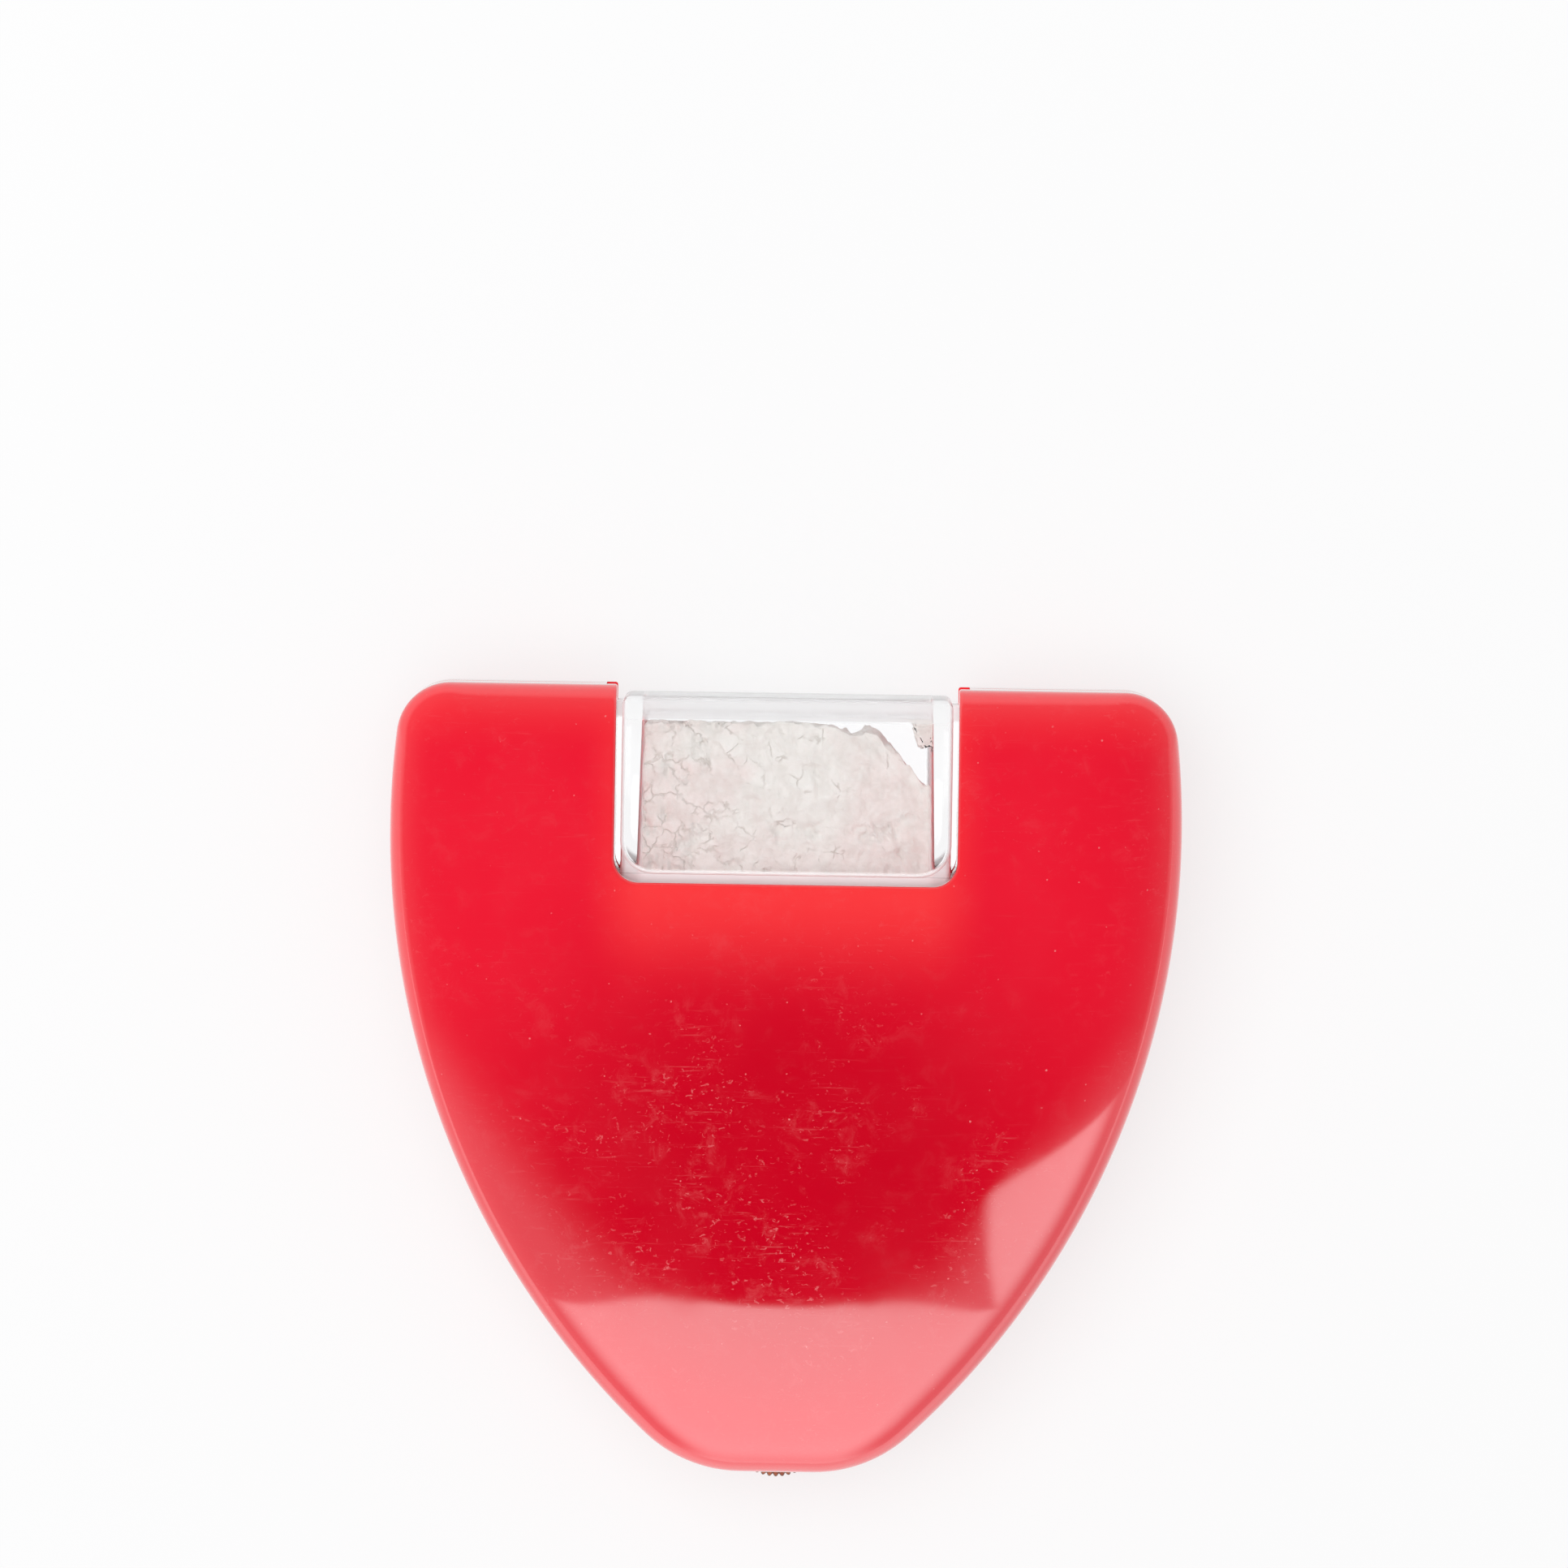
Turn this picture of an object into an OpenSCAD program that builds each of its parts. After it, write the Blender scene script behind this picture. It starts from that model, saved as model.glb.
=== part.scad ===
// Chalk wheel marker: a shield-shaped case of two domed shells that holds a clear slide-out
// cartridge of chalk powder and lays the powder down with a small serrated wheel at its tip.
// It lies on its flat back. X runs across it, Y from the wheel up to the window, Z out of the front.
// Lengths are in millimetres.

/* [Case] */
// Width of the case
body_w = 64.9; // [63:0.1:67]
// Height of the case, from the flat beside the wheel to the top edge
body_h = 64.6; // [63:0.1:67]
// Thickness in the middle of the domes
body_t = 15; // [14.6:0.1:16.5]
// Radius of each long side
side_r = 68; // [65:1:72]
// Radius of the two top corners
corner_r = 4.5; // [4:0.1:5.5]
// Radius of the rounding on each side of the wheel
tip_r = 11.5; // [11:0.1:12.5]
// Width of the flat that the wheel comes out of
tip_flat = 6; // [5.4:0.1:6.6]
// Wall thickness of the shells
wall = 1.6; // [1.4:0.05:1.7]
// Height of the straight edge of each shell beside the parting line
rim_h = 2.6; // [2.5:0.1:3]
// Size of the flat crown of each dome, as a share of the outline
crown = 0.4; // [0.36:0.01:0.5]

/* [Window] */
// Width of the notch that shows the cartridge
notch_w = 28; // [27.8:0.1:28.4]
// Depth of the notch below the top edge
notch_d = 15.9; // [15:0.1:17]
// Radius of the notch's two inner corners
notch_r = 2; // [1.5:0.1:2.5]

/* [Cartridge] */
// Width of the clear box
box_w = 27; // [26.6:0.1:27.2]
// Thickness of the clear box below the window
box_t = 11.4; // [11:0.1:11.5]
// Length of the clear box along the slide
box_l = 38; // [36:0.5:39]
// How far the top of the cartridge stays below the top edge of the case
top_drop = 0.8; // [0.6:0.1:1.2]
// Gap between each raised pad and the notch floor
pad_gap = 0.7; // [0.5:0.1:1]
// How far each pad face lies below the crown of its shell
pad_sink = 0.15; // [0.1:0.05:0.3]
// Thickness of the box's front and back walls
face_wall = 1.3; // [1.1:0.1:1.5]
// Thickness of its top wall
top_wall = 1.9; // [1.4:0.1:2.2]
// Width of the chamber at its closed top
chamber_w = 23.8; // [23.4:0.1:24.2]
// Draft of the chamber walls, in degrees
draft = 1.25; // [0.8:0.05:1.4]
// How far each side tongue stands out of the box
tongue_w = 1.25; // [1.1:0.05:1.3]
// Thickness of each side tongue
tongue_t = 3.2; // [2.8:0.1:3.4]
// Clearance round the sliding cartridge
slide_gap = 0.15; // [0.1:0.01:0.2]

/* [Chalk] */
// Height of the powder's surface below the top of the chamber
chalk_drop = 0.2; // [0.1:0.1:2]
// How far the surface slumps towards the right wall
chalk_slump = 5; // [3:0.1:6]

/* [Wheel] */
// Diameter over the teeth
wheel_d = 8.4; // [8:0.1:8.6]
// How far the wheel stands out of the tip
wheel_reach = 0.7; // [0.6:0.05:0.8]
// Thickness of the toothed rim
wheel_t = 0.9; // [0.8:0.05:1]
// Number of teeth
teeth = 48; // [36:4:60]
// Depth of a tooth
tooth_d = 0.25; // [0.15:0.05:0.3]
// Diameter of the steel axle
axle_d = 1.5; // [1.4:0.1:1.6]
// Width of the block that carries the axle
holder_w = 10.8; // [10.4:0.1:11]
// Thickness of that block
holder_t = 6.6; // [6.2:0.1:6.8]
// Height of the block's top above the tip
holder_h = 10; // [9.8:0.1:10.4]

/* [Hidden] */
$fn = 48;
skin = 0.01;              // thickness of a slice that a hull spans
over = 1;                 // how far a cutter runs past what it cuts
half_t = body_t / 2;
inner_edge = 1 - 2 * wall / body_w;
inner_rim = rim_h - 0.6;
dome_steps = 7;
focus_y = 36;             // the point the dome's sections shrink towards
box_top = body_h - top_drop;
box_low = box_top - box_l;
pad_low = body_h - notch_d + pad_gap;
pad_r = notch_r + pad_gap;
tongue_out = box_w / 2 + tongue_w;
rail_in = box_w / 2 + slide_gap;
rail_wall = 1.3;
rail_out = tongue_out + slide_gap + rail_wall;
ledge_y = box_low - 0.05; // what the cartridge comes down to
chamber_top = box_top - top_wall;
chamber_t = box_t - 2 * face_wall;
wheel_y = wheel_d / 2 - wheel_reach;
slot_t = wheel_t + 0.4;      // the wheel's slot in the holder
tip_slot_t = wheel_t + 0.6;  // and the one in the tip of the case
pocket_r = wheel_d / 2 + 0.25;
holder_low = 2.2;
holder_cut = 1.2;         // chamfer of the holder's lower edges
holder_gap = 0.1;
pocket_x = holder_w / 2 + holder_gap;
seat_h = 5.5;             // length of the seats that the holder's two faces rest on
throat_w = 7.2;
throat_low = 3.2;         // width of the throat where it meets the wheel
throat_dip = 0.6;         // how far the throat reaches below the top of the wheel
throat_wall = 1;
funnel_top = 12.6;        // half width of the funnel's mouth
powder_gap = 0.3;
powder_t = 2 * (half_t - wall) - 1.4;
chalk_gap = 0.1;
ledge_t = 2;
funnel_root = 1.5;
tongue_root = 0.3;        // how far a tongue is sunk into the box
tongue_end = 0.5;         // how far a tongue stays clear of the box's ends
boss_r = 3;
peg_r = 1.5;
peg_h = 3.2;
peg_cut = 0.4;            // chamfer of a peg's end
peg_fit = 0.05;           // clearance round a peg in its socket
peg_room = 0.3;           // and beyond its end
pegs = [[23.5, 50], [20.5, 28], [12, 9.5]];
lip_w = 0.7;
lip_h = 0.8;
lip_gap = 0.1;
lip_root = 0.4;

// The outline is a chain of arcs that meet without a kink: tip rounding, long side, top corner
tip_c = [tip_flat / 2, tip_r];
side_x = body_w / 2 - side_r;
side_c = [side_x, tip_r + sqrt(pow(side_r - tip_r, 2) - pow(tip_c.x - side_x, 2))];
corner_y = body_h - corner_r;
corner_c = [side_c.x + sqrt(pow(side_r - corner_r, 2) - pow(corner_y - side_c.y, 2)), corner_y];
tip_end = atan2(tip_c.y - side_c.y, tip_c.x - side_c.x);
side_end = atan2(corner_c.y - side_c.y, corner_c.x - side_c.x);

function arc(c, r, from, to, n, first = 1) =
    [for (i = [first : n]) c + r * [cos(from + (to - from) * i / n), sin(from + (to - from) * i / n)]];
right_side = concat(arc(tip_c, tip_r, -90, tip_end, 8, 0),
                    arc(side_c, side_r, tip_end, side_end, 18),
                    arc(corner_c, corner_r, side_end, 90, 7));
left_side = [for (i = [len(right_side) - 1 : -1 : 0]) [-right_side[i].x, right_side[i].y]];
full_outline = concat(right_side, left_side);

// Height of a dome at a share u of the way from its rim to its crown
function rise(u, rim, top) = rim + (top - rim) * sqrt(1 - pow(1 - u, 3));

module outline(size = 1) {
    polygon([for (p = full_outline) [p.x * size, focus_y + (p.y - focus_y) * size]]);
}

// One half of the pillow, standing on the parting plane
module dome(edge, rim, top) {
    hull() {
        linear_extrude(rim) outline(edge);
        for (k = [1 : dome_steps]) {
            u = pow(k / dome_steps, 2);
            translate([0, 0, rise(u, rim, top) - skin])
                linear_extrude(skin) outline(edge * (1 - (1 - crown) * u));
        }
    }
}

module both_sides() {
    children();
    mirror([1, 0, 0]) children();
}

// A rectangle open at the top of the case, with rounded lower corners
module notch_plan(w, low, top, r) {
    hull() {
        for (x = [-1, 1]) translate([x * (w / 2 - r), low + r]) circle(r);
        translate([-w / 2, top - 1]) square([w, 1]);
    }
}

// Rails beside the cartridge, the funnel below it and the walls beside the wheel holder
module rib_plan() {
    both_sides() {
        translate([rail_in, ledge_y]) square([rail_out - rail_in, body_h - ledge_y]);
        polygon([[funnel_top, ledge_y], [rail_out, ledge_y], [rail_out, ledge_y - ledge_t],
                 [pocket_x + wall, holder_h - funnel_root], [pocket_x, holder_h + holder_gap],
                 [throat_w / 2 + powder_gap, holder_h + holder_gap]]);
        translate([pocket_x, 0]) square([wall, holder_h + holder_gap]);
    }
}

module boss_plan() {
    both_sides() for (p = pegs) translate(p) circle(boss_r);
}

// What stands inside each shell, before the shell's inner dome clips it
module inner_works() {
    linear_extrude(half_t) {
        rib_plan();
        boss_plan();
    }
    translate([-pocket_x - wall / 2, wheel_y, holder_t / 2 + holder_gap])
        cube([2 * pocket_x + wall, seat_h, half_t]);
}

// The step of the parting line: a ring just inside the rim, left out at the notch and at the wheel
module step_plan(outer, inner) {
    difference() {
        outline(outer);
        outline(inner);
        translate([-rail_out - 1, body_h / 2]) square([2 * rail_out + 2, body_h]);
        translate([-pocket_x - 1, 0]) square([2 * pocket_x + 2, wall * 3]);
    }
}

// One shell with its crown up and its parting plane at height 0
module shell() {
    difference() {
        dome(1, rim_h, half_t);
        difference() {
            translate([0, 0, -skin]) dome(inner_edge, inner_rim + skin, half_t - wall + skin);
            inner_works();
        }
        translate([0, 0, -over]) linear_extrude(half_t + 2 * over)
            notch_plan(notch_w, body_h - notch_d, body_h + over + 1, notch_r);
        translate([-tongue_out - slide_gap, ledge_y, -over])
            cube([2 * (tongue_out + slide_gap), body_h, over + tongue_t / 2 + slide_gap]);
        translate([0, wheel_y, -over]) cylinder(r = pocket_r, h = over + tip_slot_t / 2);
    }
}

module front_shell() {
    color("crimson") difference() {
        shell();
        both_sides() for (p = pegs) translate([p.x, p.y, -over])
            cylinder(r = peg_r + peg_fit, h = over + peg_h + peg_room);
        translate([0, 0, -over]) linear_extrude(over + lip_h + lip_gap)
            step_plan(inner_edge + 2 * (lip_w + lip_gap) / body_w, inner_edge);
    }
}

module back_shell() {
    color("firebrick") mirror([0, 0, 1]) union() {
        shell();
        both_sides() for (p = pegs) translate([p.x, p.y, -peg_h]) {
            translate([0, 0, peg_cut]) cylinder(r = peg_r, h = peg_h);
            cylinder(r1 = peg_r - peg_cut, r2 = peg_r, h = peg_cut);
        }
        translate([0, 0, -lip_h]) linear_extrude(lip_h + lip_root)
            step_plan(inner_edge + 2 * lip_w / body_w, inner_edge);
    }
}

// The tapering space inside the cartridge, made smaller all round by gap
module chamber(gap = 0) {
    spread = (chamber_top - box_low + over) * tan(draft);
    top_w = chamber_w - 2 * gap;
    deep = chamber_t - 2 * gap;
    hull() {
        translate([-top_w / 2, chamber_top - gap - skin, spread - deep / 2])
            cube([top_w, skin, deep - 2 * spread]);
        translate([-top_w / 2 - spread, box_low - over, -deep / 2])
            cube([top_w + 2 * spread, skin, deep]);
    }
}

module chalk_cartridge() {
    low = box_low + tongue_end;
    high = box_top - tongue_end;
    color("white", 0.4) {
        difference() {
            intersection() {
                union() {
                    translate([-box_w / 2, box_low, -box_t / 2]) cube([box_w, box_l, box_t]);
                    linear_extrude(body_t, center = true) notch_plan(box_w, pad_low, box_top, pad_r);
                }
                union() for (m = [0, 1]) mirror([0, 0, m])
                    dome(1 - 2 * pad_sink / body_w, rim_h, half_t - pad_sink);
            }
            chamber();
        }
        both_sides() linear_extrude(tongue_t, center = true)
            polygon([[box_w / 2 - tongue_root, low], [box_w / 2, low], [tongue_out, low + tongue_w],
                     [tongue_out, high - tongue_w], [box_w / 2, high], [box_w / 2 - tongue_root, high]]);
    }
}

// The powder in the cartridge: its surface falls along half a cosine wave towards the right wall
module chalk_charge() {
    level = chamber_top - chalk_drop;
    floor_y = box_low + chalk_gap;
    far = chamber_w / 2 + 2;
    start = 1;
    steps = 10;
    surface = [for (i = [0 : steps])
        [start + (far - start) * i / steps, level - chalk_slump * (1 - cos(180 * i / steps)) / 2]];
    color("ghostwhite") intersection() {
        chamber(chalk_gap);
        linear_extrude(body_t, center = true)
            polygon(concat([[-far, floor_y], [-far, level]], surface, [[far, floor_y]]));
    }
}

// The powder that has run down the funnel and into the throat of the wheel holder
module feed_powder() {
    low = [throat_w / 2, holder_h + powder_gap];
    high = [funnel_top - powder_gap, ledge_y - powder_gap];
    color("ghostwhite") linear_extrude(powder_t, center = true)
        polygon([low, high, [-high.x, high.y], [-low.x, low.y]]);
}

// The block between the shells that carries the axle and leads the powder onto the wheel
module wheel_holder() {
    half_w = holder_w / 2;
    half = holder_t / 2;
    low = holder_low;
    cut = holder_cut;
    color("gainsboro") difference() {
        intersection() {
            linear_extrude(holder_t, center = true)
                polygon([[half_w - cut, low], [half_w, low + cut], [half_w, holder_h],
                         [-half_w, holder_h], [-half_w, low + cut], [-half_w + cut, low]]);
            rotate([90, 0, 90]) linear_extrude(holder_w, center = true)
                polygon([[low, cut - half], [low + cut, -half], [holder_h, -half],
                         [holder_h, half], [low + cut, half], [low, half - cut]]);
        }
        translate([0, wheel_y, 0]) cylinder(r = pocket_r, h = slot_t, center = true);
        translate([0, wheel_y, 0]) cylinder(d = axle_d + 0.02, h = holder_t + over, center = true);
        hull() {
            translate([-throat_w / 2, holder_h, throat_wall - half])
                cube([throat_w, skin, holder_t - 2 * throat_wall]);
            translate([-throat_low / 2, wheel_y + wheel_d / 2 - throat_dip, -slot_t / 2])
                cube([throat_low, skin, slot_t]);
        }
    }
}

module marking_wheel() {
    r = wheel_d / 2;
    step = 360 / teeth;
    hub_d = 3.4;
    color("goldenrod") translate([0, wheel_y, 0]) difference() {
        union() {
            linear_extrude(wheel_t, center = true) polygon([for (i = [0 : teeth - 1], s = [0, 0.5])
                let (a = (i + s) * step - 90) (r - 2 * s * tooth_d) * [cos(a), sin(a)]]);
            cylinder(d = hub_d, h = wheel_t + 0.2, center = true);
        }
        cylinder(d = axle_d + 0.08, h = wheel_t + over, center = true);
    }
}

module wheel_axle() {
    color("silver") translate([0, wheel_y, 0]) cylinder(d = axle_d, h = holder_t - 0.2, center = true);
}

// Puts the middle of the object's box over the origin, with its back on the table
module place() {
    translate([0, (wheel_reach - body_h) / 2, half_t]) children();
}

place() front_shell();
place() back_shell();
place() chalk_cartridge();
place() chalk_charge();
place() feed_powder();
place() wheel_holder();
place() marking_wheel();
place() wheel_axle();
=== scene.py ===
import math

import bpy
import numpy as np
from mathutils import Matrix, Vector


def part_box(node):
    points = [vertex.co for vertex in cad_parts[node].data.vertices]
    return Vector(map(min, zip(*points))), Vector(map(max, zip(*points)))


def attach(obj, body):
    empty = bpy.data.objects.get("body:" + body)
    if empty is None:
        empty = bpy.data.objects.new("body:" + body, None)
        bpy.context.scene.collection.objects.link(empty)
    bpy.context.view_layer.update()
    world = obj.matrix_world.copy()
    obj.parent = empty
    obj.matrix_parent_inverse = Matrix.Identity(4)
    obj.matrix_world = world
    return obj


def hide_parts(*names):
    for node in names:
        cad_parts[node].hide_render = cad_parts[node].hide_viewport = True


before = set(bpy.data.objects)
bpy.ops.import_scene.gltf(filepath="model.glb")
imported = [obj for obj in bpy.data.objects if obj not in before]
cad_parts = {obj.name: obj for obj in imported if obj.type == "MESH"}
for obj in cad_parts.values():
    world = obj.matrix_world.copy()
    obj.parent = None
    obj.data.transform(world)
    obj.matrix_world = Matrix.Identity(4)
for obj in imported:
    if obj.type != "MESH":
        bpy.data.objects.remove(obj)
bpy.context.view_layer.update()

# Shapes are worked out in millimetres, with X across the case, Y up from the flat of its tip
# and Z out of its front, from the parting plane. place() turns them into the frame's metres.
MM = 0.001
TIP_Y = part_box("front_shell")[0].y
MID_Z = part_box("front_shell")[0].z

# Case: its outline's size and radii, then its dome, which rises from the rim to a flat crown and
# shrinks towards the focus, and the small rounds of its edges and its parting line
BODY_W = 64.9
BODY_H = 64.6
HALF_T = 7.5
SIDE_R = 68.0
CORNER_R = 4.5
TIP_R = 11.5
TIP_FLAT = 6.0
RIM_H = 2.6
CROWN = 0.4
FOCUS_Y = 36.0
EDGE_R = 0.35
PART_R = 0.14
EDGE_STEPS = 8

# Window
NOTCH_W = 28.0
NOTCH_R = 2.0
NOTCH_Y = BODY_H - 15.9
NOTCH_END_R = 0.2

# Cartridge: its box, the pad that fills the window, the tongues, and the chamber with its draft
BOX_W = 27.0
BOX_T = 11.4
BOX_TOP = BODY_H - 0.8
BOX_LOW = BOX_TOP - 38.0
BOX_R = 0.5
PAD_LOW = NOTCH_Y + 0.7
PAD_SINK = 0.15
PAD_LOW_R = NOTCH_R + 0.7
PAD_TOP_R = 0.7
PAD_EDGE_R = 0.45
TONGUE_OUT = BOX_W / 2 + 1.25
TONGUE_T = 3.2
TONGUE_R = 0.25
SLIDE_GAP = 0.15
CHAMBER_TOP = BOX_TOP - 1.9
CHAMBER_W = 23.8
CHAMBER_T = 8.8
CHAMBER_R = 0.5
DRAFT = math.tan(math.radians(1.25))

# Works below the cartridge: the ledge that it stands on, the funnel, the wheel holder's pocket
# and the wheel's slot. X and Z are half widths.
LEDGE_Y = BOX_LOW - 0.05
FUNNEL_LOW = 10.05
FUNNEL_LOW_X = 3.9
FUNNEL_TOP_X = 12.6
FUNNEL_Z = 5.4
HOLDER_LOW = 1.95
HOLDER_TOP = 10.1
HOLDER_X = 5.5
HOLDER_Z = 3.4
SLOT_Z = 0.75

# Wheel
WHEEL_D = 8.4
WHEEL_Y = WHEEL_D / 2 - 0.7
WHEEL_T = 0.9
TEETH = 48
TOOTH_D = 0.25
TOOTH_STEPS = 12
BORE_R = 0.79
SLOT_R = WHEEL_D / 2 + 0.25

# Chalk: its gap to the chamber's walls, how far it falls away at its right end, and the number
# of cells after which its noise repeats
CHALK_GAP = 0.03
SLUMP = 4.5
NOISE_CELLS = 64

# Camera: the width of its view at the parting plane, where the middle of the view is, and how
# far it leans towards the window and turns
VIEW_W = 128.8
VIEW_X = -0.23
VIEW_Y = 56.5
CAMERA_AWAY = 800.0
CAMERA_LEAN = math.radians(3.4)
CAMERA_ROLL = math.radians(0.92)

# Faces that meet at more than this many degrees get a sharp edge
SHARP = 35.0

# How bright the room is to everything but gloss, where plain white is 1
ROOM_LEVEL = 0.6


def place(points):
    """Points in millimetres from the tip and the parting plane, as metres in the frame."""
    return np.asarray(points, float) * MM + np.array([0.0, TIP_Y, MID_Z])


def smooth(x, low, high):
    """0 below low, 1 above high, and a smooth step between them."""
    t = np.clip((x - low) / (high - low), 0, 1)
    return t * t * (3 - 2 * t)


def arc(centre, radius, start, end, steps):
    """Points on a circle about centre, from one angle to another in degrees."""
    a = np.radians(np.linspace(start, end, steps + 1))
    return np.stack([centre[0] + radius * np.cos(a), centre[1] + radius * np.sin(a)], -1)


def along(path, where):
    """The points of a polyline at given lengths along it."""
    run = np.concatenate([[0], np.cumsum(np.linalg.norm(np.diff(path, axis=0), axis=1))])
    return np.stack([np.interp(where, run, path[:, k]) for k in (0, 1)], -1)


def length(path):
    return np.linalg.norm(np.diff(path, axis=0), axis=1).sum()


def half_outline():
    """The right half of the outline from the tip to the end of the top corner, as arcs that meet
    without a kink: half the tip's flat, the tip's rounding, the long side and the corner."""
    tip = np.array([TIP_FLAT / 2, TIP_R])
    side_x = BODY_W / 2 - SIDE_R
    side = np.array([side_x, TIP_R + math.sqrt((SIDE_R - TIP_R) ** 2 - (tip[0] - side_x) ** 2)])
    corner_y = BODY_H - CORNER_R
    corner_x = side_x + math.sqrt((SIDE_R - CORNER_R) ** 2 - (corner_y - side[1]) ** 2)
    tip_end = math.degrees(math.atan2(tip[1] - side[1], tip[0] - side[0]))
    side_end = math.degrees(math.atan2(corner_y - side[1], corner_x - side[0]))
    return np.concatenate([
        [[0.0, 0.0]],
        arc(tip, TIP_R, -90, tip_end, 120),
        arc(side, SIDE_R, tip_end, side_end, 500)[1:],
        arc((corner_x, corner_y), CORNER_R, side_end, 90, 120)[1:],
    ])


RIGHT = half_outline()
OUTER = np.concatenate([RIGHT[::-1] * [-1, 1], RIGHT[1:]])
ROUND = np.concatenate([OUTER, OUTER[:1]])


def reach_table():
    """How far the outline is from the focus at each of many angles, and the same softened by a
    bell curve of nine degrees, so that the dome's sections lose the sharp top corners as they
    shrink."""
    to_degree, blur = 8, 9.0
    steps = 360 * to_degree
    dense = along(ROUND, np.linspace(0, length(ROUND), 6001))[:-1]
    angle = np.arctan2(dense[:, 1] - FOCUS_Y, dense[:, 0])
    order = np.argsort(angle)
    even = np.linspace(-np.pi, np.pi, steps + 1)[:-1]
    far = np.hypot(dense[:, 0], dense[:, 1] - FOCUS_Y)
    reach = np.interp(even, angle[order], far[order], period=2 * np.pi)
    turn = np.minimum(np.arange(steps), steps - np.arange(steps)) / to_degree
    weight = np.exp(-0.5 * (turn / blur) ** 2)
    soft = np.fft.irfft(np.fft.rfft(reach) * np.fft.rfft(weight / weight.sum()), steps)
    return even, reach, soft


ANGLES, REACH, SOFT_REACH = reach_table()


def dome(x, y):
    """Height of the dome: a section of the outline, shrunk towards the focus by its share of the
    way to the crown, lies at rim + (top - rim) sqrt(1 - (1 - share) cubed)."""
    angle = np.arctan2(y - FOCUS_Y, x)
    far = np.hypot(x, y - FOCUS_Y)
    edge = np.interp(angle, ANGLES, REACH, period=2 * np.pi)
    soft = np.interp(angle, ANGLES, SOFT_REACH, period=2 * np.pi)
    first = np.clip((1 - far / edge) / (1 - CROWN), 0, 1)
    share = np.clip((1 - far / (edge + (soft - edge) * first)) / (1 - CROWN), 0, 1)
    return RIM_H + (HALF_T - RIM_H) * np.sqrt(1 - (1 - share) ** 3)


def rounding(distance, radius):
    """How far a quarter round of that radius falls, at a distance from the edge it ends on."""
    d = np.clip(distance, 0, radius)
    return radius - np.sqrt(np.maximum(radius ** 2 - (radius - d) ** 2, 0))


def grid_faces(rows, columns, wrap=False, flip=False):
    """The quads of a grid whose points are numbered row by row. wrap joins its two sides."""
    i = np.arange(rows - 1)[:, None]
    j = np.arange(columns if wrap else columns - 1)[None, :]
    k = (j + 1) % columns
    corners = [i * columns + j, i * columns + k, (i + 1) * columns + k, (i + 1) * columns + j]
    return np.stack(corners[::-1] if flip else corners, -1).reshape(-1, 4)


def whole_steps(points):
    """Places as whole hundred-thousandths of a millimetre, so that those at one place agree."""
    return np.round(points * 1e5).astype(np.int64)


def weld(patches):
    """Patches of points and quads as one surface: points at the same place become one, and a
    quad that has lost a corner that way becomes a triangle."""
    starts = np.cumsum([0] + [len(p) for p, _ in patches])
    points = np.concatenate([p for p, _ in patches])
    quads = np.concatenate([f + s for (_, f), s in zip(patches, starts)])
    _, first, where = np.unique(whole_steps(points), axis=0, return_index=True,
                                return_inverse=True)
    quads = where.reshape(-1)[quads]
    same = quads == np.roll(quads, -1, axis=1)
    whole = quads[same.sum(1) == 0]
    triangles = [np.delete(quads[(same.sum(1) == 1) & same[:, k]], k, axis=1) for k in range(4)]
    return points[first], whole.tolist() + np.concatenate(triangles).tolist()


def mesh_object(name, points, faces, sharp=SHARP):
    """A smooth-shaded mesh object of points in millimetres, sharp where faces meet at an angle."""
    mesh = bpy.data.meshes.new(name)
    mesh.from_pydata(place(points), [], faces)
    mesh.update()
    mesh.shade_smooth()
    mesh.set_sharp_from_angle(angle=math.radians(sharp))
    made = bpy.data.objects.new(name, mesh)
    bpy.context.scene.collection.objects.link(made)
    return made


def combine(made, tools):
    """Joins or cuts made with each (operation, object), and bakes the result into its mesh."""
    for operation, tool in tools:
        step = made.modifiers.new(operation, "BOOLEAN")
        step.operation = operation
        step.solver = "MANIFOLD"
        step.object = tool
    bpy.context.view_layer.update()
    whole = made.evaluated_get(bpy.context.evaluated_depsgraph_get())
    mesh = bpy.data.meshes.new_from_object(whole)
    made.modifiers.clear()
    made.data = mesh
    mesh.name = made.name
    mesh.shade_smooth()
    mesh.set_sharp_from_angle(angle=math.radians(SHARP))
    for _, tool in tools:
        bpy.data.objects.remove(tool)
    return made


def dress(made, body, slot, material, *nodes):
    """Gives a finished piece its body and its material, and hides the CAD nodes it stands for.
    slot is not used.
    """
    made.data.materials.clear()
    made.data.materials.append(material)
    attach(made, body)
    if nodes:
        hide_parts(*nodes)
    return made


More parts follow.
